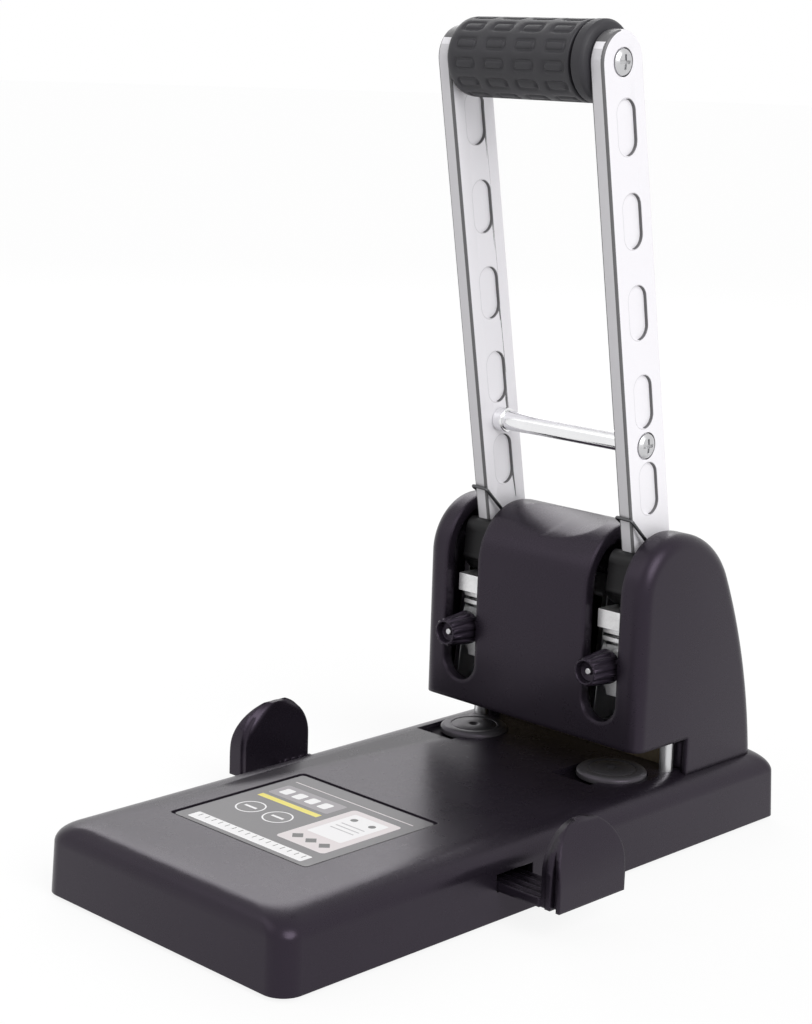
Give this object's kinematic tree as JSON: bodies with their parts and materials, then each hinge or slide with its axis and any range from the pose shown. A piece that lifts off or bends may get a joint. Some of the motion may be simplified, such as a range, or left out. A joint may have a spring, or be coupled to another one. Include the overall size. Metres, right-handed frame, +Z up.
{
  "type": "paper punch",
  "caption": "Heavy-duty desk punch: long upright lever drives two hollow punches through a paper stack over turnable cutting discs, with coupled side guides.",
  "frame": {"origin": "on the floor under the middle of the base", "axes": "+X to the right, +Y to the back, where the head stands, +Z up"},
  "size_m": [0.202, 0.2952, 0.3434],
  "materials": {
    "black_plastic": "fine spark-eroded texture, satin",
    "under_plastic": "plain moulded",
    "label": null,
    "disc_plastic": "satin, turned rings",
    "knob_plastic": "moulded, satin",
    "rubber": "matt",
    "arm_silver": "satin silver",
    "chrome": "polished plate",
    "steel": "bright zinc plate",
    "zinc_casting": "die-cast, as cast",
    "brassy_casting": "yellow passivated, rough",
    "black_metal": "gloss black",
    "spring_wire": "black oxide wire",
    "tool_steel": "ground"
  },
  "bodies": {
    "base": {"base_shell": "black_plastic", "bottom_cover": "under_plastic", "bottom_screws": "steel", "rubber_feet": "rubber", "stiffener_plate": "steel", "label_plate": "label", "guide_tray": "under_plastic", "pedestal": "brassy_casting", "stop_posts": "chrome", "stripper_plate": "steel", "frame_bolts": "steel", "bracket_left": "steel", "bracket_right": "steel", "bracket_screws": "steel", "pivot_axle": "steel", "axle_rings": "steel", "guide_rods": "steel", "head_cover_back": "black_plastic", "head_cover_middle": "black_plastic", "head_cheek_left": "black_plastic", "head_cheek_right": "black_plastic", "slot_sill_left": "black_plastic", "slot_sill_right": "black_plastic", "cover_screws": "steel", "return_spring_left": "steel", "return_spring_right": "steel"},
    "lever": {"arm_left": "arm_silver", "arm_right": "arm_silver", "cam_left": "black_metal", "cam_right": "black_metal", "cam_pins": "chrome", "torsion_spring_left": "spring_wire", "torsion_spring_right": "spring_wire", "grip_sleeve": "rubber", "grip_cap": "rubber", "grip_rod": "steel", "crossbar": "chrome", "crossbar_collars": "chrome", "arm_screws": "steel"},
    "punch_slide_left": {"punch_carrier_left": "zinc_casting", "punch_left": "tool_steel"},
    "punch_slide_right": {"punch_carrier_right": "zinc_casting", "punch_right": "tool_steel"},
    "knob_left": {"knob_left": "knob_plastic", "knob_stud_left": "steel"},
    "knob_right": {"knob_right": "knob_plastic", "knob_stud_right": "steel"},
    "disc_left": {"disc_left": "disc_plastic"},
    "disc_right": {"disc_right": "disc_plastic"},
    "guide_left": {"guide_left": "black_plastic"},
    "guide_right": {"guide_right": "black_plastic"},
    "pinion": {"guide_pinion": "under_plastic"}
  },
  "joints": [
    {"name": "lever_swing", "type": "hinge", "parent": "base", "child": "lever", "pos_m": [0, 0.08617, 0.1055], "axis": [1, 0, 0], "range_deg": [0, 60], "stiffness_Nm_per_rad": 1, "springref_deg": -34.38},
    {"name": "punch_press_left", "type": "slide", "parent": "base", "child": "punch_slide_left", "axis": [0, 0, -1], "range_m": [0, 0.014], "stiffness_N_per_m": 500, "springref_m": -0.006, "deforming": ["return_spring_left"]},
    {"name": "knob_turn_left", "type": "hinge", "parent": "punch_slide_left", "child": "knob_left", "pos_m": [-0.04, 0.0539, 0.0792], "axis": [0, 1, 0], "continuous": true},
    {"name": "disc_turn_left", "type": "hinge", "parent": "base", "child": "disc_left", "pos_m": [-0.04, 0.068, 0.0311], "axis": [0, 0, 1], "continuous": true},
    {"name": "punch_press_right", "type": "slide", "parent": "base", "child": "punch_slide_right", "axis": [0, 0, -1], "range_m": [0, 0.014], "stiffness_N_per_m": 500, "springref_m": -0.006, "deforming": ["return_spring_right"]},
    {"name": "knob_turn_right", "type": "hinge", "parent": "punch_slide_right", "child": "knob_right", "pos_m": [0.04, 0.0539, 0.0792], "axis": [0, 1, 0], "continuous": true},
    {"name": "disc_turn_right", "type": "hinge", "parent": "base", "child": "disc_right", "pos_m": [0.04, 0.068, 0.0311], "axis": [0, 0, 1], "continuous": true},
    {"name": "guide_slide_right", "type": "slide", "parent": "base", "child": "guide_right", "axis": [1, 0, 0], "range_m": [-0.02, 0.036]},
    {"name": "guide_slide_left", "type": "slide", "parent": "base", "child": "guide_left", "axis": [-1, 0, 0], "range_m": [-0.02, 0.036]},
    {"name": "pinion_turn", "type": "hinge", "parent": "base", "child": "pinion", "pos_m": [0, -0.0105, 0.0156], "axis": [0, 0, 1], "range_deg": [-200, 350]}
  ],
  "couplings": [
    {"joint": "punch_press_left", "follows": "lever_swing", "m_per_rad": 0.013368},
    {"joint": "punch_press_right", "follows": "lever_swing", "m_per_rad": 0.013368},
    {"joint": "guide_slide_left", "follows": "guide_slide_right", "ratio": 1},
    {"joint": "pinion_turn", "follows": "guide_slide_right", "rad_per_m": 166.67}
  ]
}
